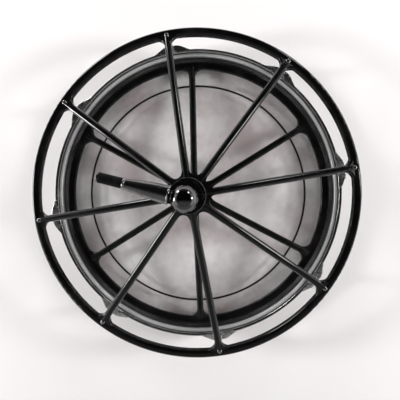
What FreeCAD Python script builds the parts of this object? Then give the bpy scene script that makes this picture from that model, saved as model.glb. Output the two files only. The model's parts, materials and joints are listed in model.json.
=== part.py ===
import FreeCAD, Part
import math
import os

V = FreeCAD.Vector
os.makedirs("parts", exist_ok=True)

# Head-first tuned drum frame. Millimetres, +Z up, Z = 0 at the playing-side rim it lies on.
# The tension spider is above, the playing head below, and the spindle runs along +Z.

# Rods and the tension spider
rod_count = 8
first_rod_deg = 9.53
rod_r = 2.75
rod_hole_play = 0.05
rod_reach = 5.3
tension_ring_z = 73.0
tension_ring_width = 10.2
tension_ring_height = 10.0
tension_spoke_r = 4.15
tension_apex_z = 140.7
tension_fork_r = 11.0
tension_fork_thick = 7.0
tension_hub_wall = 5.9
tension_hub_below = 13.7
tension_hub_above = 17.3
tension_web = 3.0
ring_outset = 1.9
web_start = 6.0

# Bearing spider: its ring sets the size of the head
bearing_r_out = 174.1
bearing_ring_width = 9.9
bearing_height = 10.0
bearing_spoke_count = 6
first_bearing_spoke_deg = 32.06
bearing_spoke_r = 4.2
bearing_apex_z = 54.2
bearing_fork_r = 11.0
bearing_fork_thick = 6.6
bearing_hub_rim = 1.4
bearing_hub_below = 10.2
bearing_hub_above = 5.8
bearing_web = 5.0

# Head: film, its stripe and its aluminium hoop
film_thick = 0.5
film_z = 11.0
film_edge_gap = 0.05
film_fold_inset = 1.1
film_collar_run = 5.9
film_slot_height = 3.3
stripe_r = 144.3
stripe_width = 2.6
stripe_thick = 0.12
flesh_gap = 0.1
flesh_width = 4.4
flesh_height = 7.6
flesh_back = 1.6
film_slot_play = 0.02
film_end_play = 0.35

# Counterhoop, bent from sheet
sheet = 2.2
rim_width = 4.7
rim_curl = 5.2
wall_inset = 0.7
step_z = 19.0
skirt_play = 0.6
flange_rise = 1.3
flange_width = 2.3
ear_half_base = 26.4
ear_half_nose = 8.8
ear_nose_reach = 4.3
ear_nose_round = 4.0
ear_edge_round = 0.9
ear_hole_play = 0.5

# Rod heads and washers
washer_rim = 1.2
washer_thick = 1.0
head_rim = 1.1
head_thick = 1.6
key_square = 6.35
key_height = 7.0
rod_proud = 1.0

# Spindle, its screw thread and its bushes
thread_r = 10.0
thread_pitch = 2.5
thread_play = 0.08
shoulder_width = 3.0
shoulder_thick = 4.0
journal_r = 7.0
journal_play = 0.06
neck_r = 6.0
neck_depth = 2.0
bush_wall = 2.6
bush_flange_lip = 0.5
bush_flange_thick = 3.0
bush_inset = 2.0
bush_mouth = 1.2
bush_screw_offset = 2.6
bush_screw_count = 3
bush_screw_r = 1.5
bush_screw_length = 9.0
journal_bush_wall = 2.5
journal_flange_width = 3.0
journal_flange_thick = 1.5

# Ball thrust bearing under the spindle shoulder
race_lip = 0.6
race_thick = 2.2
race_gap = 2.4
ball_circle_offset = 0.4
thrust_ball_r = 2.0
thrust_ball_count = 12
groove_play = 0.35
cage_thick = 1.2
cage_hole_play = 0.2

# Parts at the two ends of the spindle
end_gap = 0.2
end_washer_inset = 0.5
end_washer_thick = 2.0
end_screw_r = 4.0
end_screw_head_rim = 2.5
end_screw_head = 5.0
end_screw_length = 17.0
nut_rim = 5.0
nut_gap = 3.0
nut_thick = 6.0
spindle_proud = 1.0
knob_r = 12.7
knob_flat_drop = 11.0
knob_gap = 4.0
knob_offset = 2.6
knob_screw_r = 2.0

# Tuning lever
lever_deg = 165.9
lever_rod_r = 3.5
lever_bore_play = 0.1
lever_rod_gap = 1.0
lever_neck_gap = 0.2
lever_neck_length = 1.5
lever_neck_r = 5.4
collar_thick = 1.6
collar_r = 9.1
shank_profile = ((0.0, 8.85), (8.0, 8.7), (16.0, 8.1), (24.0, 7.25), (32.0, 6.3), (40.6, 5.25))
ferrule_thick = 2.4
ferrule_r = 5.7
sleeve_r = 5.1
sleeve_length = 23.4
cap_thick = 1.6
cap_r = 4.9

# Radii that follow from the head outwards
bearing_r_in = bearing_r_out - bearing_ring_width
film_flat_r = bearing_r_out - film_fold_inset
film_collar_r = film_flat_r + film_collar_run
flesh_r_in = film_collar_r + flesh_gap
flesh_r_out = flesh_r_in + flesh_width
wall_r = flesh_r_in + wall_inset
rim_r = wall_r + rim_width
skirt_r = flesh_r_out + skirt_play + sheet / 2
flange_r = skirt_r + flange_width
rod_circle = skirt_r + rod_reach
ear_nose_r = rod_circle + ear_nose_reach
ear_base_r = skirt_r - 0.5

# Radii that follow from the spindle outwards
bush_r = thread_r + bush_wall
tension_hub_r = bush_r + tension_hub_wall
bush_flange_r = tension_hub_r - bush_flange_lip
bush_screw_circle = bush_r + bush_screw_offset
shoulder_r = thread_r + shoulder_width
race_r = shoulder_r + race_lip
ball_circle = (race_r + journal_r) / 2 + ball_circle_offset
bearing_hub_r = race_r + bearing_hub_rim
journal_bush_r = journal_r + journal_bush_wall
journal_flange_r = journal_bush_r + journal_flange_width
end_washer_r = journal_flange_r - end_washer_inset

# Heights that follow from the rim upwards
flesh_low = step_z + sheet / 2
flesh_top = flesh_low + flesh_height
film_slot_z = flesh_low + film_slot_height
flange_z = flesh_top + flange_rise
bearing_hub_bottom = bearing_apex_z - bearing_hub_below
bearing_hub_top = bearing_apex_z + bearing_hub_above
tension_hub_bottom = tension_apex_z - tension_hub_below
tension_hub_top = tension_apex_z + tension_hub_above
flange_top = tension_hub_top + bush_flange_thick
nut_bottom = flange_top + nut_gap
spindle_top = nut_bottom + nut_thick + spindle_proud
knob_flat_z = spindle_top + knob_gap
knob_z = knob_flat_z + knob_flat_drop


def unit(a, b):
    length = math.hypot(a, b)
    return a / length, b / length


def in_section(r, z):
    return V(r, 0, z)


def outline(points, radii, lift):
    """Face inside a polygon whose corners carry the given radii."""
    corners = []
    count = len(points)
    for i in range(count):
        x, y = points[i]
        before = points[i - 1]
        after = points[(i + 1) % count]
        ax, ay = unit(before[0] - x, before[1] - y)
        bx, by = unit(after[0] - x, after[1] - y)
        if radii[i] == 0:
            corners.append(((x, y), None, (x, y)))
            continue
        half = math.acos(max(-1.0, min(1.0, ax * bx + ay * by))) / 2
        cut = radii[i] / math.tan(half)
        mx, my = unit(ax + bx, ay + by)
        reach = radii[i] / math.sin(half) - radii[i]
        start = (x + ax * cut, y + ay * cut)
        end = (x + bx * cut, y + by * cut)
        corners.append((start, (x + mx * reach, y + my * reach), end))
    edges = []
    for i in range(count):
        start, middle, end = corners[i]
        if middle:
            edges.append(Part.Arc(lift(*start), lift(*middle), lift(*end)).toShape())
        following = corners[(i + 1) % count][0]
        if math.dist(end, following) > 1e-6:
            edges.append(Part.makeLine(lift(*end), lift(*following)))
    return Part.Face(Part.Wire(edges))


def shifted(corner, first, last, distance):
    n0 = (-first[1], first[0])
    n1 = (-last[1], last[0])
    scale = distance / (1 + n0[0] * n1[0] + n0[1] * n1[1])
    return corner[0] + (n0[0] + n1[0]) * scale, corner[1] + (n0[1] + n1[1]) * scale


def strip(path, bends, thick, end_round=0.0):
    """Outline points and radii of sheet bent along a path."""
    sides = []
    steps = [unit(b[0] - a[0], b[1] - a[1]) for a, b in zip(path, path[1:])]
    for side in (1, -1):
        points = []
        radii = []
        for i in range(len(path)):
            first = steps[max(i - 1, 0)]
            last = steps[min(i, len(steps) - 1)]
            points.append(shifted(path[i], first, last, side * thick / 2))
            turning = first[0] * last[1] - first[1] * last[0]
            if 0 < i < len(path) - 1:
                radii.append(bends[i - 1] - side * math.copysign(thick / 2, turning))
            else:
                radii.append(end_round)
        sides.append((points, radii))
    left, right = sides
    return left[0] + right[0][::-1], left[1] + right[1][::-1]


def revolved(points, radii=None):
    face = outline(points, radii or [0] * len(points), in_section)
    return face.revolve(V(0, 0, 0), V(0, 0, 1), 360)


def tube(r_out, r_in, z0, z1, soft=0.0):
    points = [(r_in, z0), (r_out, z0), (r_out, z1), (r_in, z1)]
    return revolved(points, [0, soft, soft, 0])


def rod(r, z0, z1, x=0.0, y=0.0):
    return Part.makeCylinder(r, z1 - z0, V(x, y, z0))


def turned(shape, degrees):
    copy = shape.copy()
    copy.rotate(V(0, 0, 0), V(0, 0, 1), degrees)
    return copy


def around(shape, count, first_deg):
    return [turned(shape, first_deg + i * 360.0 / count) for i in range(count)]


def hexagon(flats, z0, z1):
    r = flats / math.sqrt(3)
    turns = [math.radians(60 * i) for i in range(6)]
    points = [(r * math.cos(a), r * math.sin(a)) for a in turns]
    face = outline(points, [0] * 6, lambda x, y: V(x, y, z0))
    return face.extrude(V(0, 0, z1 - z0))


def joined(shapes):
    return shapes[0].multiFuse(shapes[1:]).removeSplitter()


def keep(name, shape):
    solids = shape.Solids
    print(name, "solids", len(solids), "valid", shape.isValid(), "volume", round(shape.Volume, 1))
    body = solids[0] if len(solids) == 1 else Part.makeCompound(solids)
    body.exportStep("parts/%s.step" % name)


def spider(ring, ring_r, ring_z, reach_in, apex_z, spokes, forks, window_inner):
    """A cast ring carried by sloping spokes that fork where they meet it."""
    spoke_r, count, first_deg = spokes
    fork_r, fork_thick = forks
    slope = math.atan2(apex_z - ring_z, ring_r)
    inward = V(-math.cos(slope), 0, math.sin(slope))
    across = V(0, 1, 0)
    normal = inward.cross(across)
    start = V(ring_r, 0, ring_z)
    length = (ring_r - web_start) / math.cos(slope)
    spoke = Part.makeCylinder(spoke_r, length, start, inward)
    half = spoke_r * 0.98
    wide = half + fork_r + 1.5
    near = reach_in / math.cos(slope)
    far = near + fork_r + 5.0
    points = [(0, -wide), (near, -wide), (near, -half), (far, -half),
              (far, half), (near, half), (near, wide), (0, wide)]
    radii = [0, 0, fork_r, 0, 0, fork_r, 0, 0]
    low = start - normal * (fork_thick / 2)
    face = outline(points, radii, lambda s, u: low + inward * s + across * u)
    fork = face.extrude(normal * fork_thick)
    arcs = [e for e in fork.Edges if isinstance(e.Curve, Part.Circle)]
    fork = fork.makeFillet(fork_thick * 0.36, arcs)
    half_angle = math.pi / count
    window_mid = (window_inner - spoke_r) / (1 - math.sin(half_angle))
    window_r = window_mid - window_inner
    web_out = window_mid * math.cos(half_angle)
    inner_z = apex_z - web_start * math.tan(slope)
    outer_z = apex_z - web_out * math.tan(slope)
    thick = fork_thick / 2
    web = revolved([(web_start, inner_z - thick), (web_out, outer_z - thick),
                    (web_out, outer_z + thick), (web_start, inner_z + thick)])
    tool = rod(window_r, apex_z - 60, apex_z + 60, window_mid)
    web = web.cut(around(tool, count, first_deg + 180.0 / count))
    pieces = [ring, web] + around(spoke, count, first_deg) + around(fork, count, first_deg)
    return joined(pieces)


# Tension spider: the ring that takes the rods, eight spokes and the screwed hub
rod_face = tension_ring_width / 2
ring_mid = rod_circle + ring_outset
low_z = tension_ring_z - tension_ring_height / 2
high_z = tension_ring_z + tension_ring_height / 2
low_round = tension_ring_width * 0.28
high_round = tension_ring_width * 0.4
tension_ring = revolved([(ring_mid - rod_face, low_z), (ring_mid + rod_face, low_z),
                         (ring_mid + rod_face, high_z), (ring_mid - rod_face, high_z)],
                        [low_round, low_round, high_round, high_round])
tension = spider(tension_ring, ring_mid, tension_ring_z, rod_face, tension_apex_z,
                 (tension_spoke_r, rod_count, first_rod_deg), (tension_fork_r, tension_fork_thick),
                 tension_hub_r + tension_web)
hub_edge = 2.0
tension_hub = revolved([(0, tension_hub_bottom), (tension_hub_r, tension_hub_bottom),
                        (tension_hub_r, tension_hub_top), (0, tension_hub_top)], [0, 3.0, hub_edge, 0])
tension = joined([tension, tension_hub])
bush_screw = rod(bush_screw_r, tension_hub_top - bush_screw_length, tension_hub_top + 1, bush_screw_circle)
rod_hole = rod(rod_r + rod_hole_play, low_z - 5, high_z + 5, rod_circle)
tension = tension.cut([rod(bush_r, tension_hub_bottom - 30, tension_hub_top + 30)]
                      + around(rod_hole, rod_count, first_rod_deg)
                      + around(bush_screw, bush_screw_count, first_rod_deg))
keep("tension_spider", tension)

# Threaded bush, flanged onto the hub and held by three countersunk screws
bush_bottom = tension_hub_bottom + bush_inset
bush_bore = thread_r + thread_play
mouth_r = bush_bore + bush_mouth
bush = revolved([(mouth_r, bush_bottom), (bush_r, bush_bottom), (bush_r, tension_hub_top),
                 (bush_flange_r, tension_hub_top), (bush_flange_r, flange_top), (mouth_r, flange_top),
                 (bush_bore, flange_top - bush_mouth), (bush_bore, bush_bottom + bush_mouth)],
                [0, 0, 0, 0, 1.0, 0, 0, 0])
screw_head_r = bush_screw_r * 1.8
sink = screw_head_r - bush_screw_r
sink_at = V(bush_screw_circle, 0, flange_top - sink)
clear_sink = Part.makeCone(bush_screw_r + 0.1, screw_head_r + 0.1, sink, sink_at)
clear_hole = rod(bush_screw_r + 0.1, tension_hub_top - 1, flange_top + 1, bush_screw_circle)
bush = bush.cut(around(clear_sink, bush_screw_count, first_rod_deg)
                + around(clear_hole, bush_screw_count, first_rod_deg))
keep("thread_bush", bush)

screw_low = tension_hub_top - bush_screw_length + 1.0
screw = joined([rod(bush_screw_r, screw_low, flange_top - sink, bush_screw_circle),
                Part.makeCone(bush_screw_r, screw_head_r, sink, sink_at)])
socket = hexagon(2.0, flange_top - 1.5, flange_top + 1)
socket.translate(V(bush_screw_circle, 0, 0))
screw = screw.cut(socket)
keep("bush_screws", Part.makeCompound(around(screw, bush_screw_count, first_rod_deg)))

# Bearing spider: the ring that the film is drawn over, six spokes and the thrust hub
edge_z = film_z + film_thick / 2 + film_edge_gap
top_z = edge_z + bearing_height
bearing_mid = (bearing_r_out + bearing_r_in) / 2
bearing_ring = revolved(
    [(bearing_r_in, edge_z + bearing_height * 0.45), (bearing_mid, edge_z), (bearing_r_out - 2.6, edge_z),
     (bearing_r_out, edge_z + 2.9), (bearing_r_out, top_z), (bearing_r_in, top_z)],
    [1.5, 0.6, 1.0, 1.2, 2.6, 2.6])
ring_axis_z = edge_z + bearing_height * 0.57
bearing = spider(bearing_ring, bearing_mid, ring_axis_z, bearing_mid - bearing_r_in, bearing_apex_z,
                 (bearing_spoke_r, bearing_spoke_count, first_bearing_spoke_deg),
                 (bearing_fork_r, bearing_fork_thick), bearing_hub_r + bearing_web)
bearing_hub = revolved([(0, bearing_hub_bottom), (bearing_hub_r, bearing_hub_bottom),
                        (bearing_hub_r, bearing_hub_top), (0, bearing_hub_top)], [0, 2.0, 1.2, 0])
bearing = joined([bearing, bearing_hub])
bearing = bearing.cut(rod(journal_bush_r, bearing_hub_bottom - 30, bearing_hub_top + 30))
keep("bearing_spider", bearing)

journal_bore = journal_r + journal_play
flange_low = bearing_hub_bottom - journal_flange_thick
keep("journal_bush", revolved([(journal_bore, flange_low), (journal_flange_r, flange_low),
                               (journal_flange_r, bearing_hub_bottom), (journal_bush_r, bearing_hub_bottom),
                               (journal_bush_r, bearing_hub_top), (journal_bore, bearing_hub_top)],
                              [0, 0.4, 0, 0, 0, 0]))

# Ball thrust bearing between the hub and the spindle shoulder
lower_top = bearing_hub_top + race_thick
balls_z = lower_top + race_gap / 2
upper_low = lower_top + race_gap
upper_top = upper_low + race_thick
groove = Part.makeTorus(ball_circle, thrust_ball_r + groove_play, V(0, 0, balls_z))
race_bore = journal_r + 0.3
keep("thrust_race_lower", tube(race_r, race_bore, bearing_hub_top, lower_top, 0.4).cut(groove))
keep("thrust_race_upper", tube(race_r, journal_r + 0.05, upper_low, upper_top, 0.4).cut(groove))
ball = Part.makeSphere(thrust_ball_r, V(ball_circle, 0, balls_z))
keep("thrust_balls", Part.makeCompound(around(ball, thrust_ball_count, 0)))
cage = tube(race_r, race_bore + 0.2, balls_z - cage_thick / 2, balls_z + cage_thick / 2)
pocket = rod(thrust_ball_r + cage_hole_play, balls_z - 5, balls_z + 5, ball_circle)
keep("thrust_cage", cage.cut(around(pocket, thrust_ball_count, 0)))

# Spindle: journal, shoulder, screw thread and the neck that carries the knob
spindle_low = flange_low - end_gap
shoulder_top = upper_top + shoulder_thick
depth = 0.6134 * thread_pitch
root_r = thread_r - depth
neck_top = knob_z - neck_depth
body = revolved([(0, spindle_low), (journal_r, spindle_low), (journal_r, upper_top),
                 (shoulder_r, upper_top), (shoulder_r, shoulder_top), (root_r, shoulder_top),
                 (root_r, spindle_top), (neck_r, spindle_top), (neck_r, neck_top), (0, neck_top)],
                [0, 0.5, 0, 0.5, 0.5, 0, 0.4, 0, 0.6, 0])
relief = shoulder_top + 1.5
thread_height = spindle_top - 0.8 - relief
turns = int((thread_height - thread_pitch) / thread_pitch)
helix = Part.makeLongHelix(thread_pitch, turns * thread_pitch, thread_r, 0)
flank = thread_pitch * 0.42
crest = thread_pitch * 0.07
base_r = root_r - 0.15
profile = Part.Wire(Part.makePolygon([V(base_r, 0, -flank), V(thread_r, 0, -crest),
                                      V(thread_r, 0, crest), V(base_r, 0, flank), V(base_r, 0, -flank)]))
ridge = Part.Wire(helix).makePipeShell([profile], True, True)
ridge.translate(V(0, 0, relief + flank))
spindle = body.fuse(ridge)
tapped = rod(end_screw_r, spindle_low - 1, spindle_low + end_screw_length)
spindle = spindle.cut(tapped)
keep("spindle", spindle)

washer_top = spindle_low
washer_low = washer_top - end_washer_thick
head_bottom = washer_low - end_screw_head
keep("end_washer", tube(end_washer_r, end_screw_r + 0.2, washer_low, washer_top, 0.3))
end_screw = joined([rod(end_screw_r, washer_low - 0.5, spindle_low + end_screw_length - 2.0),
                    tube(end_screw_r + end_screw_head_rim, 0, head_bottom, washer_low, 0.5)])
end_screw = end_screw.cut(hexagon(6.0, head_bottom - 1, head_bottom + 3.0))
keep("end_screw", end_screw)

nut = hexagon(2 * (thread_r + nut_rim), nut_bottom, nut_bottom + nut_thick)
bevel = thread_r + nut_rim + 0.3
nut = nut.common(revolved([(0, nut_bottom), (bevel, nut_bottom), (bevel + 2.6, nut_bottom + 1.5),
                           (bevel + 2.6, nut_bottom + nut_thick - 1.5), (bevel, nut_bottom + nut_thick),
                           (0, nut_bottom + nut_thick)]))
nut = nut.cut(rod(thread_r + thread_play, nut_bottom - 1, nut_bottom + nut_thick + 1))
keep("lock_nut", nut)


def placed(shape):
    """Turn a lever piece from +X to its bearing, beside the spindle axis."""
    aim = math.radians(lever_deg)
    copy = turned(shape, lever_deg)
    copy.translate(V(-math.sin(aim), math.cos(aim), 0) * knob_offset)
    return copy


def on_lever(points, radii=None):
    face = outline(points, radii or [0] * len(points), lambda x, r: V(x, 0, knob_z + r))
    return placed(face.revolve(V(0, 0, knob_z), V(1, 0, 0), 360))


def ring_on_lever(x0, x1, r, soft):
    return on_lever([(x0, bore_r), (x0, r), (x1, r), (x1, bore_r)], [0, soft, soft, 0])


# Knob and lever, drawn along +X from the centre of the knob
lever_rod_start = neck_r + lever_rod_gap
lever_neck_start = knob_r + lever_neck_gap
collar_start = lever_neck_start + lever_neck_length
shank_start = collar_start + collar_thick
knob = Part.makeSphere(knob_r, V(0, 0, knob_z))
knob = knob.common(rod(knob_r + 1, knob_flat_z, knob_z + knob_r + 1))
bore_r = lever_rod_r + lever_bore_play
grub_z = (knob_flat_z + knob_z) / 2
grub_drop = knob_z - grub_z
knob = knob.cut([
    rod(neck_r + 0.05, knob_flat_z - 1, neck_top + 0.5, 0, -knob_offset),
    Part.makeCylinder(bore_r, knob_r + 5, V(lever_rod_start - 0.3, 0, knob_z), V(1, 0, 0)),
    Part.makeCylinder(knob_screw_r + 0.05, knob_r, V(-neck_r + 0.5, -knob_offset, grub_z), V(-1, 0, 0))])
keep("knob", placed(knob))

grub_start = -neck_r - 0.1
grub_end = -math.sqrt(knob_r ** 2 - grub_drop ** 2 - (knob_offset + knob_screw_r) ** 2) + 0.3
grub_at = V(grub_start, -knob_offset, grub_z)
grub = Part.makeCylinder(knob_screw_r, grub_start - grub_end, grub_at, V(-1, 0, 0))
key = Part.makeCylinder(knob_screw_r * 0.5, 2.0, V(grub_end + 1.5, -knob_offset, grub_z), V(-1, 0, 0))
keep("knob_screw", placed(grub.cut(key)))

shank_end = shank_start + shank_profile[-1][0]
ferrule_start = shank_end
sleeve_start = ferrule_start + ferrule_thick
cap_start = sleeve_start + sleeve_length
rod_end = cap_start - 1.0
keep("lever_rod", on_lever([(lever_rod_start, 0), (lever_rod_start, lever_rod_r),
                            (rod_end, lever_rod_r), (rod_end, 0)], [0, 0.4, 0.4, 0]))
keep("lever_collar", ring_on_lever(collar_start, collar_start + collar_thick, collar_r, 0.5))
keep("lever_neck", ring_on_lever(lever_neck_start, collar_start, lever_neck_r, 0.3))
curve = Part.BSplineCurve()
curve.interpolate([V(shank_start + x, 0, knob_z + r) for x, r in shank_profile])
first = V(shank_start, 0, knob_z + bore_r)
last = V(shank_end, 0, knob_z + bore_r)
shank_edges = [curve.toShape(), Part.makeLine(curve.EndPoint, last),
               Part.makeLine(last, first), Part.makeLine(first, curve.StartPoint)]
shank = Part.Face(Part.Wire(shank_edges)).revolve(V(0, 0, knob_z), V(1, 0, 0), 360)
keep("lever_shank", placed(shank))
keep("lever_ferrule", ring_on_lever(ferrule_start, sleeve_start, ferrule_r, 0.9))
keep("grip_sleeve", ring_on_lever(sleeve_start, cap_start, sleeve_r, 0.6))
cap_end = cap_start + cap_thick
keep("grip_cap", on_lever([(cap_start - 0.8, 0), (cap_start - 0.8, 2.5), (cap_start, 2.5),
                           (cap_start, cap_r), (cap_end, cap_r), (cap_end, 0)], [0, 0, 0, 0, 0.7, 0]))

# Head: clear film locked in an aluminium hoop, with a dark stripe
film_end_r = flesh_r_out - flesh_back
path = [(0.0, film_z), (film_flat_r, film_z), (film_collar_r, film_slot_z), (film_end_r, film_slot_z)]
film_points, film_radii = strip(path, [3.0, 1.0], film_thick)
keep("head_film", revolved(film_points, film_radii))
stripe_low = film_z + film_thick / 2
keep("stripe_ring", tube(stripe_r + stripe_width / 2, stripe_r - stripe_width / 2, stripe_low,
                         stripe_low + stripe_thick))
slot_half = film_thick / 2 + film_slot_play
slot_r = film_end_r + film_end_play
keep("flesh_hoop", revolved([(flesh_r_in, flesh_low), (flesh_r_out, flesh_low), (flesh_r_out, flesh_top),
                             (flesh_r_in, flesh_top), (flesh_r_in, film_slot_z + slot_half),
                             (slot_r, film_slot_z + slot_half), (slot_r, film_slot_z - slot_half),
                             (flesh_r_in, film_slot_z - slot_half)],
                            [0.5, 0.5, 1.4, 1.0, 0, 0, 0, 0.9]))

# Counterhoop with eight flanged ears
hoop_path = [(rim_r, rim_curl), (rim_r, sheet / 2), (wall_r, sheet / 2), (wall_r, step_z),
             (skirt_r, step_z), (skirt_r, flange_z), (flange_r, flange_z)]
hoop_points, hoop_radii = strip(hoop_path, [1.6, 1.6, 1.7, 1.7, sheet / 2], sheet, 0.5)
hoop = revolved(hoop_points, hoop_radii)


plate_top = flange_z + sheet / 2
plate_low = flange_z - sheet / 2
ear_points = [(ear_base_r, -ear_half_base), (ear_nose_r, -ear_half_nose),
              (ear_nose_r, ear_half_nose), (ear_base_r, ear_half_base)]
ear = outline(ear_points, [0, ear_nose_round, ear_nose_round, 0], lambda r, u: V(r, u, plate_low))
ear = ear.extrude(V(0, 0, sheet))
rim_edges = [e for e in ear.Edges if e.BoundBox.ZMin > plate_top - 0.01 and e.BoundBox.XMax > skirt_r]
ear = ear.makeFillet(ear_edge_round, rim_edges)
ears = around(ear, rod_count, first_rod_deg)
hoop = joined([hoop] + ears)
ear_hole = rod(rod_r + ear_hole_play, plate_low - 5, plate_top + 5, rod_circle)
hoop = hoop.cut(around(ear_hole, rod_count, first_rod_deg))
keep("counterhoop", hoop)

# Tension rods: key head below the ear, domed end proud of the tension ring
washer_bottom = plate_low - washer_thick
keep("rod_washers", Part.makeCompound(around(
    Part.makeCylinder(rod_r + washer_rim, washer_thick, V(rod_circle, 0, washer_bottom)).cut(
        rod(rod_r + 0.25, washer_bottom - 1, plate_low + 1, rod_circle)), rod_count, first_rod_deg)))
end_z = high_z + rod_proud
head_r = rod_r + head_rim
head_low = washer_bottom - head_thick
key_low = head_low - key_height
stem = outline([(0, head_low - 0.5), (rod_r, head_low - 0.5), (rod_r, end_z), (0, end_z)], [0, 0, 1.5, 0],
               in_section).revolve(V(0, 0, 0), V(0, 0, 1), 360)
disc = outline([(0, head_low), (head_r, head_low), (head_r, washer_bottom), (0, washer_bottom)],
               [0, 0.5, 0.2, 0], in_section).revolve(V(0, 0, 0), V(0, 0, 1), 360)
key = Part.makeBox(key_square, key_square, key_height, V(-key_square / 2, -key_square / 2, key_low))
key = key.makeChamfer(0.6, [e for e in key.Edges if e.BoundBox.ZMax < key_low + 0.01])
one_rod = joined([stem, disc, key])
one_rod.translate(V(rod_circle, 0, 0))
keep("tension_rods", Part.makeCompound(around(one_rod, rod_count, first_rod_deg)))
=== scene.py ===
import bpy
import bmesh
import json
import math
from mathutils import Matrix, Vector


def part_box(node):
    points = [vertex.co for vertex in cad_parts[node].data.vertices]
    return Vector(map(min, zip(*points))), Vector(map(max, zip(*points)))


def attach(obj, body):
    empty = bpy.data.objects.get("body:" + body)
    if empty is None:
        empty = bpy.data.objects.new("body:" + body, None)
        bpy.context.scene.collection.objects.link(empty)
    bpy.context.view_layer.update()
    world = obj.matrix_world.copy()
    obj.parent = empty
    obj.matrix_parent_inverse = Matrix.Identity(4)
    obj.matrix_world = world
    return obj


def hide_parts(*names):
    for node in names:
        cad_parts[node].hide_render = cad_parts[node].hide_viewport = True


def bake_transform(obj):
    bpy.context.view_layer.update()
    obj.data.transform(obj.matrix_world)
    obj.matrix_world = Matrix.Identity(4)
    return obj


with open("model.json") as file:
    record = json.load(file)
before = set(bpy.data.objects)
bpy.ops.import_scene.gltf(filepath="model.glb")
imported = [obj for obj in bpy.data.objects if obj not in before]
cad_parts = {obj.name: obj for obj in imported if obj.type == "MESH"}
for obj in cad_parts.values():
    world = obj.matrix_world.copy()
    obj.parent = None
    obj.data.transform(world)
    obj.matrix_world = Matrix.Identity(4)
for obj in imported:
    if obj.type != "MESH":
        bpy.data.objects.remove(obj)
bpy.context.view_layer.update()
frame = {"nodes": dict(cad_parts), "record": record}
nodes = frame["nodes"]
print("frame loaded:", len(nodes), "nodes")


# shader nodes

class Tone:  # one shader socket that can stand in a Python sum
    def __init__(self, nodeSet, socket):
        self.nodeSet = nodeSet
        self.socket = socket

    def maths(self, operation, first, second):
        return self.nodeSet.node("ShaderNodeMath", {"operation": operation}, {0: first, 1: second})

    def __add__(self, other):
        return self.maths("ADD", self, other)

    def __radd__(self, other):
        return self.maths("ADD", other, self)

    def __sub__(self, other):
        return self.maths("SUBTRACT", self, other)

    def __rsub__(self, other):
        return self.maths("SUBTRACT", other, self)

    def __mul__(self, other):
        return self.maths("MULTIPLY", self, other)

    def __rmul__(self, other):
        return self.maths("MULTIPLY", other, self)

    def __pow__(self, other):
        return self.maths("POWER", self, other)

    def __rpow__(self, other):
        return self.maths("POWER", other, self)


class NodeSet:  # the nodes of one material or world
    def __init__(self, tree):
        self.tree = tree
        self.tree.nodes.clear()

    def node(self, kind, settings=None, values=None, output=0):
        made = self.tree.nodes.new(kind)
        for key, value in (settings or {}).items():
            setattr(made, key, value)
        for key, value in (values or {}).items():
            if isinstance(value, Tone):
                self.tree.links.new(value.socket, made.inputs[key])
            else:
                made.inputs[key].default_value = value
        return Tone(self, made.outputs[output]) if made.outputs else None

    def coordinate(self, kind="Object"):
        return self.node("ShaderNodeTexCoord", None, None, kind)

    def along(self, place, axis):
        return self.node("ShaderNodeSeparateXYZ", None, {"Vector": place}, axis)

    def ramp(self, value, limits, ends=(0.0, 1.0)):
        values = {"Value": value, "From Min": limits[0], "From Max": limits[1],
                  "To Min": ends[0], "To Max": ends[1]}
        return self.node("ShaderNodeMapRange", {"interpolation_type": "SMOOTHSTEP"}, values)

    def noise(self, place, scale, detail=2.0, roughness=0.5):
        values = {"Vector": place, "Scale": scale, "Detail": detail, "Roughness": roughness}
        return self.node("ShaderNodeTexNoise", None, values)

    def mixed(self, factor, first, second):
        values = {0: factor, 6: first, 7: second}  # sockets of the colour mix
        return self.node("ShaderNodeMix", {"data_type": "RGBA"}, values, 2)

    def bump(self, height, distance, strength):
        values = {"Height": height, "Distance": distance, "Strength": strength}
        return self.node("ShaderNodeBump", None, values)


def grey(level, warmth=0.0):
    return (level * (1 + warmth), level, level * (1 - warmth), 1.0)


def newFinish(name):
    material = bpy.data.materials.new(name)
    material.use_nodes = True
    return material, NodeSet(material.node_tree)


def closeFinish(paint, values):
    shader = paint.node("ShaderNodeBsdfPrincipled", None, values)
    paint.node("ShaderNodeOutputMaterial", None, {"Surface": shader})


def fromAxis(paint, place):  # distance from the spindle axis
    x, y = paint.along(place, "X"), paint.along(place, "Y")
    return (x * x + y * y) ** 0.5


def aboutAxis(paint, place):  # angle about the spindle axis
    sides = {0: paint.along(place, "Y"), 1: paint.along(place, "X")}
    return paint.node("ShaderNodeMath", {"operation": "ARCTAN2"}, sides)


# black enamel on the two castings

enamelMarks = {"dustShare": (0.45, 0.75), "dustRoughness": 0.08, "dustOnCoat": 0.6, "rubShare": (0.4, 0.7),
               "peelStrength": 0.5}
glossBlack = {"colour": grey(0.002), "dustColour": grey(0.05), "dust": 0.1, "dustScale": 34.0,
              "rubScale": 90.0, "rub": 0.05, "peelScale": 420.0, "peelHeight": 0.00003, "roughness": 0.1,
              "specular": 0.3, "coat": 0.45, "coatRoughness": 0.04, "coatIor": 1.45}
satinBlack = {"colour": grey(0.002), "dustColour": grey(0.05), "dust": 0.12, "dustScale": 40.0,
              "rubScale": 110.0, "rub": 0.06, "peelScale": 480.0, "peelHeight": 0.00004, "roughness": 0.14,
              "specular": 0.3, "coat": 0.3, "coatRoughness": 0.08, "coatIor": 1.45}


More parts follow.
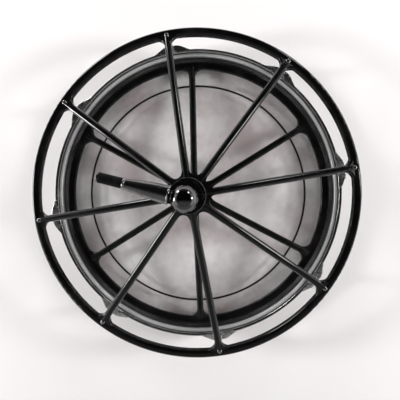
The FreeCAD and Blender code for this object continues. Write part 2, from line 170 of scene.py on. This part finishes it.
def stovedEnamel(name, look, marks=enamelMarks):
    material, paint = newFinish(name)
    place = paint.coordinate()
    peel = paint.noise(place, look["peelScale"])
    dust = paint.ramp(paint.noise(place, look["dustScale"], detail=6.0, roughness=0.6), marks["dustShare"])
    rub = paint.ramp(paint.noise(place, look["rubScale"], detail=3.0), marks["rubShare"])
    closeFinish(paint, {
        "Base Color": paint.mixed(dust * look["dust"], look["colour"], look["dustColour"]),
        "Roughness": look["roughness"] + rub * look["rub"] + dust * marks["dustRoughness"],
        "Specular IOR Level": look["specular"],
        "Coat Weight": look["coat"] - dust * look["coat"] * marks["dustOnCoat"],
        "Coat Roughness": look["coatRoughness"],
        "Coat IOR": look["coatIor"],
        "Normal": paint.bump(peel, look["peelHeight"], marks["peelStrength"])})
    return material


# chrome on the counterhoop, ball knob and lever

chromeMarks = {"smearShare": (0.4, 0.75), "rippleStrength": 0.5}
hoopChrome = {"colour": grey(0.62), "smearColour": grey(0.5, 0.02), "smearScale": 60.0, "rippleScale": 70.0,
              "rippleHeight": 0.00001, "roughness": 0.07, "smearRoughness": 0.1}
# the ears' chrome is a brighter copy of the hoop chrome: painted light on the ears
litEarChrome = {"colour": grey(0.9), "smearColour": grey(0.5, 0.02), "smearScale": 90.0, "rippleScale": 170.0,
             "rippleHeight": 0.0014, "roughness": 0.2, "smearRoughness": 0.2}
mirrorChrome = {"colour": grey(0.42), "smearColour": grey(0.34), "smearScale": 150.0, "rippleScale": 90.0,
                "rippleHeight": 0.00002, "roughness": 0.03, "smearRoughness": 0.05}
# the knob's chrome is a darker copy of the mirror chrome: painted shade on the ball
shadedKnobChrome = {"colour": grey(0.15), "smearColour": grey(0.1), "smearScale": 150.0, "rippleScale": 90.0,
              "rippleHeight": 0.00002, "roughness": 0.03, "smearRoughness": 0.05}
smokedChrome = {"colour": grey(0.26), "smearColour": grey(0.16, 0.04), "smearScale": 120.0,
                "rippleScale": 160.0, "rippleHeight": 0.0001, "roughness": 0.2, "smearRoughness": 0.12}


def platedChrome(name, look, marks=chromeMarks):
    material, paint = newFinish(name)
    place = paint.coordinate()
    smear = paint.ramp(paint.noise(place, look["smearScale"], detail=5.0, roughness=0.6), marks["smearShare"])
    ripple = paint.noise(place, look["rippleScale"], detail=1.0)
    closeFinish(paint, {
        "Base Color": paint.mixed(smear, look["colour"], look["smearColour"]),
        "Metallic": 1.0,
        "Roughness": look["roughness"] + smear * look["smearRoughness"],
        "Normal": paint.bump(ripple, look["rippleHeight"], marks["rippleStrength"])})
    return material


# turned metal with fine lines round the spindle axis

turnedMarks = {"stainShare": (0.45, 0.8), "stainRoughness": 0.12, "lineStrength": 0.6}
blackedSteel = {"colour": grey(0.002), "stainColour": grey(0.008, 0.08), "stain": 0.6, "stainScale": 260.0,
                "lineScale": 2400.0, "lineRun": 1.5, "lineHeight": 0.00001, "lineRoughness": 0.1,
                "roughness": 0.22, "metallic": 0.0, "specular": 0.08}
brightSteel = {"colour": grey(0.5), "stainColour": grey(0.3, 0.06), "stain": 0.5, "stainScale": 180.0,
               "lineScale": 2600.0, "lineRun": 2.0, "lineHeight": 0.00004, "lineRoughness": 0.14,
               "roughness": 0.16, "metallic": 1.0, "specular": 0.5}
drawnAluminium = {"colour": grey(0.85), "stainColour": grey(0.6), "stain": 0.4, "stainScale": 70.0,
                  "lineScale": 3000.0, "lineRun": 3.0, "lineHeight": 0.000003, "lineRoughness": 0.05,
                  "roughness": 0.3, "metallic": 0.66, "specular": 0.5}
oiledBronze = {"colour": (0.52, 0.33, 0.13, 1.0), "stainColour": (0.2, 0.11, 0.05, 1.0), "stain": 0.7,
               "stainScale": 300.0, "lineScale": 3000.0, "lineRun": 2.0, "lineHeight": 0.00004,
               "lineRoughness": 0.15, "roughness": 0.25, "metallic": 1.0, "specular": 0.5}
groundSteel = {"colour": grey(0.66), "stainColour": grey(0.4, 0.1), "stain": 0.35, "stainScale": 350.0,
               "lineScale": 5000.0, "lineRun": 2.0, "lineHeight": 0.00002, "lineRoughness": 0.1,
               "roughness": 0.1, "metallic": 1.0, "specular": 0.5}


def turnedMetal(name, look, marks=turnedMarks):
    material, paint = newFinish(name)
    place = paint.coordinate()
    lineValues = {"X": fromAxis(paint, place) * look["lineScale"],
                  "Y": paint.along(place, "Z") * look["lineScale"],
                  "Z": aboutAxis(paint, place) * look["lineRun"]}
    linePlace = paint.node("ShaderNodeCombineXYZ", None, lineValues)
    lines = paint.noise(linePlace, 1.0, detail=3.0, roughness=0.7)
    patches = paint.noise(place, look["stainScale"], detail=6.0, roughness=0.65)
    stain = paint.ramp(patches, marks["stainShare"])
    closeFinish(paint, {
        "Base Color": paint.mixed(stain * look["stain"], look["colour"], look["stainColour"]),
        "Metallic": look["metallic"],
        "Specular IOR Level": look["specular"],
        "Roughness": look["roughness"] + lines * look["lineRoughness"] + stain * marks["stainRoughness"],
        "Normal": paint.bump(lines, look["lineHeight"], marks["lineStrength"])})
    return material


# rubber grip and stripe laminate

coverMarks = {"wornShare": (0.45, 0.75), "wornShine": 0.12, "grainStrength": 0.6}
gripRubber = {"colour": grey(0.004), "wornColour": grey(0.016), "worn": 0.4, "wornScale": 160.0,
              "grainScale": 2600.0, "grainHeight": 0.00005, "roughness": 0.5, "specular": 0.12}
stripeLaminate = {"colour": grey(0.008), "wornColour": grey(0.03), "worn": 0.4, "wornScale": 120.0,
                  "grainScale": 1800.0, "grainHeight": 0.00003, "roughness": 0.5, "specular": 0.3}


def softCover(name, look, marks=coverMarks):
    material, paint = newFinish(name)
    place = paint.coordinate()
    grain = paint.noise(place, look["grainScale"], detail=4.0, roughness=0.6)
    worn = paint.ramp(paint.noise(place, look["wornScale"], detail=4.0), marks["wornShare"])
    closeFinish(paint, {
        "Base Color": paint.mixed(worn * look["worn"], look["colour"], look["wornColour"]),
        "Roughness": look["roughness"] - worn * marks["wornShine"],
        "Specular IOR Level": look["specular"],
        "Normal": paint.bump(grain, look["grainHeight"], marks["grainStrength"])})
    return material


# clear film, hazed in clouds that lie partly as painted shade, with painted shade on its collar

# the haze clouds are the film's own mottling, shifted so they darken the upper film: partly painted shade
clearFilm = {"colour": (0.23, 0.2, 0.2, 1.0), "hazeAndShadeColour": (0.38, 0.3, 0.3, 1.0), "hazeAndShadeScale": 13.0,
             "shadeShift": (0.83, -0.41, 0.0), "hazeAndShadeShare": (0.3, 0.7), "hazeAndShade": 0.28, "haze": 0.02,
             "smearScale": 60.0, "smearShare": (0.45, 0.8), "smear": 0.06, "smearRoughness": 0.2,
             # the dark collar colour and haze are painted shade on the film's collar
             "collarShadeShare": (0.1738, 0.1758), "collarShadeHaze": 0.45, "collarShadeColour": grey(0.03),
             "swellScale": 14.0, "swellHeight": 0.003, "swellStrength": 0.7, "roughness": 0.12,
             "specular": 0.5}


def drumFilm(name, look):
    material, paint = newFinish(name)
    place = paint.coordinate()
    # the shift places the haze clouds as painted shade over the upper film
    shifted = paint.node("ShaderNodeMapping", None, {"Vector": place, "Location": look["shadeShift"]})
    drift = paint.noise(shifted, look["hazeAndShadeScale"], detail=3.0, roughness=0.55)
    hazeAndShade = paint.ramp(drift, look["hazeAndShadeShare"])
    smear = paint.ramp(paint.noise(place, look["smearScale"], detail=6.0, roughness=0.7), look["smearShare"])
    # painted shade: the film turns darker and denser beyond the bearing edge
    collarShade = paint.ramp(fromAxis(paint, place), look["collarShadeShare"])
    swell = paint.noise(place, look["swellScale"])
    hazedAndShaded = paint.mixed(hazeAndShade, look["colour"], look["hazeAndShadeColour"])
    closeFinish(paint, {
        "Base Color": paint.mixed(collarShade, hazedAndShaded, look["collarShadeColour"]),
        "Roughness": look["roughness"] + smear * look["smearRoughness"],
        "Specular IOR Level": look["specular"],
        "Alpha": look["haze"] + hazeAndShade * look["hazeAndShade"] + smear * look["smear"] + collarShade * look["collarShadeHaze"],
        "Normal": paint.bump(swell, look["swellHeight"], look["swellStrength"])})
    return material


finishes = {
    "black_gloss_paint": stovedEnamel("glossBlackEnamel", glossBlack),
    "black_satin_paint": stovedEnamel("satinBlackEnamel", satinBlack),
    "hoop_chrome": platedChrome("hoopChrome", hoopChrome),
    "mirror_chrome": platedChrome("mirrorChrome", mirrorChrome),
    "smoked_chrome": platedChrome("smokedChrome", smokedChrome),
    "blackened_steel": turnedMetal("blackenedSteel", blackedSteel),
    "rod_steel": turnedMetal("brightSteel", brightSteel),
    "bare_aluminium": turnedMetal("drawnAluminium", drawnAluminium),
    "bearing_bronze": turnedMetal("oiledBronze", oiledBronze),
    "bearing_steel": turnedMetal("groundSteel", groundSteel),
    "grip_rubber": softCover("gripRubber", gripRubber),
    "stripe_black": softCover("stripeLaminate", stripeLaminate),
    "clear_film": drumFilm("drumFilm", clearFilm)}

for part in frame["record"]["subparts"]:
    mesh = nodes[part["node"]].data
    mesh.materials.clear()
    mesh.materials.append(finishes[part["material_slot"]])
# the ball knob takes a darker copy of the mirror chrome, painted shade
nodes["knob"].data.materials[0] = platedChrome("shadedKnobChrome", shadedKnobChrome)
nodes["grip_cap"].data.materials[0] = platedChrome("capChrome", smokedChrome)
print("finishes made:", len(finishes))


# shared steps of the pieces

weldReach = 0.000001


def meshFrom(name, bm):
    mesh = bpy.data.meshes.new(name)
    bm.to_mesh(mesh)
    bm.free()
    return mesh


def placeObject(name, data):
    made = bpy.data.objects.new(name, data)
    bpy.context.scene.collection.objects.link(made)
    return made


def weld(bm):
    bmesh.ops.remove_doubles(bm, verts=bm.verts, dist=weldReach)
    bmesh.ops.recalc_face_normals(bm, faces=bm.faces)


def newPiece(name, bm, slot, body=None, sharp=35.0):
    weld(bm)
    mesh = meshFrom(name, bm)
    mesh.shade_smooth()
    mesh.set_sharp_from_angle(angle=math.radians(sharp))
    mesh.materials.append(finishes[slot])
    piece = placeObject(name, mesh)
    if body:
        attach(piece, body)
    return piece


def rounded(bm, geom, reach, steps, affect="VERTICES"):
    bmesh.ops.bevel(bm, geom=geom, offset=reach, offset_type="OFFSET", segments=steps, profile=0.5,
                    affect=affect, material=-1)


def lathe(points, closed, steps, roundSteps=4):  # points are (radius, height, rounding)
    bm = bmesh.new()
    corners = [bm.verts.new((r, 0, z)) for r, z, soft in points]
    pairs = list(zip(corners, corners[1:]))
    if closed:
        pairs.append((corners[-1], corners[0]))
    for pair in pairs:
        bm.edges.new(pair)
    for corner, (r, z, soft) in zip(corners, points):
        if soft:
            rounded(bm, [corner], soft, roundSteps)
    bmesh.ops.spin(bm, geom=bm.verts[:] + bm.edges[:], cent=(0, 0, 0), axis=(0, 0, 1), angle=math.tau,
                   steps=steps, use_merge=True)
    return bm


def vertsOf(geom):
    return [v for v in geom if isinstance(v, bmesh.types.BMVert)]


def aroundAxis(bm, count, first):  # copies of one shape at even angles
    one = bm.verts[:] + bm.edges[:] + bm.faces[:]
    bmesh.ops.rotate(bm, verts=bm.verts, cent=(0, 0, 0), matrix=Matrix.Rotation(math.radians(first), 3, "Z"))
    for number in range(1, count):
        copy = bmesh.ops.duplicate(bm, geom=one)["geom"]
        bmesh.ops.rotate(bm, verts=vertsOf(copy), cent=(0, 0, 0),
                         matrix=Matrix.Rotation(math.tau * number / count, 3, "Z"))


def addTo(bm, other):  # one bmesh poured into another through a passing mesh
    passing = meshFrom("passing", other)
    bm.from_mesh(passing)
    bpy.data.meshes.remove(passing)


# drum film, drawn over the bearing edge into the flesh hoop

filmShape = {"thickness": 0.0005, "shoulderInset": 0.0011, "foldInset": 0.0029, "bend": 0.002,
             "collarBend": 0.0008, "flatRings": (0.06, 0.12), "steps": 240}


def makeFilm(shape):
    low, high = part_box("head_film")
    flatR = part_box("bearing_spider")[1].x - shape["shoulderInset"]
    collarR = high.x - shape["foldInset"]
    collarZ = high.z - shape["thickness"]
    flat = [(r, low.z, 0) for r in (0, *shape["flatRings"])]
    bm = lathe(flat + [(flatR, low.z, shape["bend"]), (collarR, collarZ, shape["collarBend"]),
                       (high.x, collarZ, 0)], False, shape["steps"])
    weld(bm)
    bmesh.ops.solidify(bm, geom=bm.faces[:], thickness=shape["thickness"])
    film = newPiece("filmHead", bm, "clear_film")
    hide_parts("head_film")
    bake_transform(film)


makeFilm(filmShape)
print("film stretched")


stripeShape = {"width": 0.0026, "steps": 240}


def makeStripe(shape):
    low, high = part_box("stripe_ring")
    inner = high.x - shape["width"]
    section = [(inner, low.z, 0), (high.x, low.z, 0), (high.x, high.z, 0), (inner, high.z, 0)]
    stripe = newPiece("headStripe", lathe(section, True, shape["steps"]), "stripe_black", "bearing_frame")
    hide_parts("stripe_ring")


makeStripe(stripeShape)
print("stripe laid")


# flesh hoop with the slot that holds the film's edge

bandShape = {"width": 0.0044, "slot": 0.0009, "slotDepth": 0.0031, "crown": 0.0019, "foot": 0.0005,
             "steps": 240}


def makeBand(shape, filmThickness):
    low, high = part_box("flesh_hoop")
    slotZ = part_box("head_film")[1].z - filmThickness / 2
    slotLow, slotHigh = slotZ - shape["slot"] / 2, slotZ + shape["slot"] / 2
    inner = high.x - shape["width"]
    deep = inner + shape["slotDepth"]
    foot, crown = shape["foot"], shape["crown"]
    bm = lathe([(inner, low.z, foot), (high.x, low.z, foot), (high.x, high.z, crown), (inner, high.z, crown),
                (inner, slotHigh, 0), (deep, slotHigh, 0), (deep, slotLow, 0), (inner, slotLow, 0)],
               True, shape["steps"])
    band = newPiece("fleshHoopBand", bm, "bare_aluminium", "tension_frame")
    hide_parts("flesh_hoop")


makeBand(bandShape, filmShape["thickness"])
print("flesh hoop turned")


# counterhoop and its ears

hoopShape = {"sheet": 0.0022, "rimCurl": 0.0052, "rimR": 0.1844, "wallR": 0.1797, "stepHeight": 0.019,
             "skirtR": 0.1851, "flangeR": 0.1874, "bend": 0.0016, "flangeBend": 0.0008, "endRound": 0.0005,
             "endSteps": 3, "endAngle": 60.0, "steps": 300}
earShape = {"count": 8, "first": 9.53, "rodCircle": 0.1904, "noseReach": 0.0043, "halfNose": 0.0088,
            "halfBase": 0.0264, "noseRound": 0.004, "noseSteps": 5, "edgeRound": 0.0008, "edgeSteps": 3,
            "holeR": 0.00325, "holeSteps": 24, "skirtOverlap": 0.0003, "lift": 0.00002}


def makeHoop(shape):
    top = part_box("counterhoop")[1].z - shape["sheet"] / 2
    low = shape["sheet"] / 2
    bend, step = shape["bend"], shape["stepHeight"]
    bm = lathe([(shape["rimR"], shape["rimCurl"], 0), (shape["rimR"], low, bend), (shape["wallR"], low, bend),
                (shape["wallR"], step, bend), (shape["skirtR"], step, bend),
                (shape["skirtR"], top, shape["flangeBend"]), (shape["flangeR"], top, 0)],
               False, shape["steps"])
    hoop = newPiece("counterhoopBand", bm, "hoop_chrome", "tension_frame")
    skin = hoop.modifiers.new("sheet", "SOLIDIFY")
    skin.thickness = shape["sheet"]
    skin.offset = 0
    skin.use_even_offset = True
    rounding = hoop.modifiers.new("ends", "BEVEL")
    rounding.width = shape["endRound"]
    rounding.segments = shape["endSteps"]
    rounding.limit_method = "ANGLE"
    rounding.angle_limit = math.radians(shape["endAngle"])
    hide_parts("counterhoop")


def makeEars(shape, sheet, skirtR):
    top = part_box("counterhoop")[1].z + shape["lift"]
    nose, base = shape["rodCircle"] + shape["noseReach"], skirtR - shape["skirtOverlap"]
    outline = [(base, -shape["halfBase"]), (nose, -shape["halfNose"]), (nose, shape["halfNose"]),
               (base, shape["halfBase"])]
    bm = bmesh.new()
    corners = [bm.verts.new((r, u, top)) for r, u in outline]
    for pair in zip(corners, corners[1:] + corners[:1]):
        bm.edges.new(pair)
    for corner in corners[1:3]:
        rounded(bm, [corner], shape["noseRound"], shape["noseSteps"])
    crown = [e for e in bm.edges if max(v.co.x for v in e.verts) > skirtR]
    hole = bmesh.ops.create_circle(bm, segments=shape["holeSteps"], radius=shape["holeR"])["verts"]
    bmesh.ops.translate(bm, verts=hole, vec=(shape["rodCircle"], 0, top))
    bmesh.ops.triangle_fill(bm, use_beauty=True, use_dissolve=False, edges=bm.edges[:])
    below = bmesh.ops.extrude_face_region(bm, geom=bm.faces[:], use_keep_orig=True)["geom"]
    bmesh.ops.translate(bm, verts=vertsOf(below), vec=(0, 0, -sheet))
    rounded(bm, crown, shape["edgeRound"], shape["edgeSteps"], "EDGES")
    aroundAxis(bm, shape["count"], shape["first"])
    ears = newPiece("hoopEars", bm, "hoop_chrome", "tension_frame")
    # a brighter copy of the hoop chrome, painted light on the ears
    ears.data.materials[0] = platedChrome("litEarChrome", litEarChrome)


makeHoop(hoopShape)
makeEars(earShape, hoopShape["sheet"], hoopShape["skirtR"])
print("counterhoop bent")


# tension rods: threaded shank, washer head and key square

rodShape = {"radius": 0.00275, "core": 0.00235, "pitch": 0.0009, "threadLow": 0.0315, "threadHigh": 0.0675,
            "threadFill": 0.46, "turnSteps": 12, "runout": 0.0004, "tuck": 0.0002, "dome": 0.0014, "steps": 24,
            "headR": 0.00385, "headThick": 0.0016, "headLow": 0.0253, "headLowRound": 0.0005,
            "headHighRound": 0.0003, "headSteps": 32, "key": 0.00635, "keyDrop": 0.007, "keyRound": 0.0006}


def makeShank(shape, tip):
    start, end = shape["headLow"] - shape["tuck"], shape["threadHigh"]
    return lathe([(0, start, 0), (shape["core"], start, 0), (shape["core"], end, 0),
                  (shape["radius"], end + shape["runout"], 0), (shape["radius"], tip, shape["dome"]),
                  (0, tip, 0)], False, shape["steps"])


def makeHead(shape):
    low, high = shape["headLow"], shape["headLow"] + shape["headThick"]
    return lathe([(0, low, 0), (shape["headR"], low, shape["headLowRound"]),
                  (shape["headR"], high, shape["headHighRound"]), (0, high, 0)], False, shape["headSteps"])


def makeKey(shape, low):
    key = bmesh.new()
    block = bmesh.ops.create_cube(key, size=1.0)["verts"]
    middle = low + shape["keyDrop"] / 2
    bmesh.ops.scale(key, verts=block, vec=(shape["key"], shape["key"], shape["keyDrop"]))
    bmesh.ops.translate(key, verts=block, vec=(0, 0, middle))
    foot = [e for e in key.edges if max(v.co.z for v in e.verts) < middle]
    rounded(key, foot, shape["keyRound"], 1, "EDGES")
    return key


def makeThread(shape):
    thread = bmesh.new()
    reach = shape["pitch"] * shape["threadFill"]
    root = shape["core"] - shape["tuck"]
    ridge = [thread.verts.new((r, 0, shape["threadLow"] + z))
             for r, z in ((root, -reach), (shape["radius"], 0), (root, reach))]
    turns = int((shape["threadHigh"] - shape["threadLow"]) / shape["pitch"])
    bmesh.ops.spin(thread, geom=[thread.faces.new(ridge)], cent=(0, 0, 0), axis=(0, 0, 1),
                   angle=math.tau * turns, steps=turns * shape["turnSteps"],
                   dvec=(0, 0, shape["pitch"] / shape["turnSteps"]))
    return thread


def makeRods(shape, ears):
    low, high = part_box("tension_rods")
    bm = makeShank(shape, high.z)
    for more in (makeHead(shape), makeKey(shape, low.z), makeThread(shape)):
        addTo(bm, more)
    bmesh.ops.translate(bm, verts=bm.verts, vec=(ears["rodCircle"], 0, 0))
    aroundAxis(bm, ears["count"], ears["first"])
    rods = newPiece("threadedRods", bm, "rod_steel", "tension_frame", 30.0)
    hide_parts("tension_rods")


makeRods(rodShape, earShape)
print("rods threaded")


# camera, floor and lamps

cameraView = {"place": (0.03327, 0.00761, 0.55185), "turn": (-1.7037, 3.0539, 0.0135), "lens": 36,
              "sensor": 36}


def makeCamera(look):
    camera = placeObject("overheadCamera", bpy.data.cameras.new("overheadCamera"))
    camera.data.sensor_width = look["sensor"]
    camera.data.lens = look["lens"]
    camera.location = look["place"]
    camera.rotation_euler = [math.radians(turn) for turn in look["turn"]]
    bpy.context.scene.camera = camera


floorLook = {"size": 12.0, "colour": (0.895, 0.868, 0.865, 1.0), "roughness": 0.9, "specular": 0.1}


def makeFloor(look):
    bm = bmesh.new()
    bmesh.ops.create_grid(bm, x_segments=1, y_segments=1, size=look["size"])
    mesh = meshFrom("floor", bm)
    material, paint = newFinish("paleFloor")
    closeFinish(paint, {
        "Base Color": look["colour"], "Roughness": look["roughness"], "Specular IOR Level": look["specular"]})
    mesh.materials.append(material)
    placeObject("floor", mesh)


lampRows = {  # azimuth, elevation, distance, size, power, seen in polished metal
    "upperLeftLamp": (131, 7, 1.5, 0.4, 7, True),
    "upperRightLamp": (57, 24, 1.6, 0.3, 3, True),
    "rightLamp": (8, 24, 1.6, 0.34, 5, True),
    "leftLamp": (181, 5, 1.3, 0.4, 8, True),
    "topSoft": (0, 90, 2.2, 1.6, 6, False),
    "rightSoft": (3, 30, 1.5, 0.3, 13.6, False),
    "leftSoft": (180, 30, 1.5, 0.3, 13.6, False),
    "rearSoft": (95, 26, 1.6, 0.4, 3, False)}


def addLamp(name, azimuth, elevation, distance, size, power, glossy):
    turn, lift = math.radians(azimuth), math.radians(elevation)
    towards = Vector((math.cos(turn) * math.cos(lift), math.sin(turn) * math.cos(lift), math.sin(lift)))
    lamp = placeObject(name, bpy.data.lights.new(name, "AREA"))
    lamp.data.shape = "DISK"
    lamp.data.size = size
    lamp.data.energy = power
    lamp.location = towards * distance
    lamp.rotation_euler = towards.to_track_quat("Z", "Y").to_euler()
    lamp.visible_glossy = glossy


roomLook = {"horizon": 0.08, "zenith": 0.01, "riseShare": (0.05, 0.5), "frontGlow": 0.24,
            "frontShare": (0.05, 0.6), "sideGlow": 1.1, "sideShare": (0.3, 0.85), "sideRise": (0.1, 0.5)}


def makeRoom(look):
    world = bpy.data.worlds.new("studioRoom")
    bpy.context.scene.world = world
    world.use_nodes = True
    room = NodeSet(world.node_tree)
    way = room.coordinate("Generated")
    side, front, up = (room.along(way, axis) for axis in "XYZ")
    height = room.ramp(up, look["riseShare"], (look["horizon"], look["zenith"]))
    glow = room.ramp(front * -1.0, look["frontShare"]) * look["frontGlow"]
    fade = room.ramp(up, look["sideRise"], (look["sideGlow"], 0.0))
    sides = room.ramp(side * side, look["sideShare"]) * fade
    surface = room.node("ShaderNodeBackground", None, {"Color": grey(1.0), "Strength": height + glow + sides})
    room.node("ShaderNodeOutputWorld", None, {"Surface": surface})


makeCamera(cameraView)
makeFloor(floorLook)
for lampName, row in lampRows.items():
    addLamp(lampName, *row)
makeRoom(roomLook)
bpy.context.scene.view_settings.view_transform = "Standard"
print("studio lit")
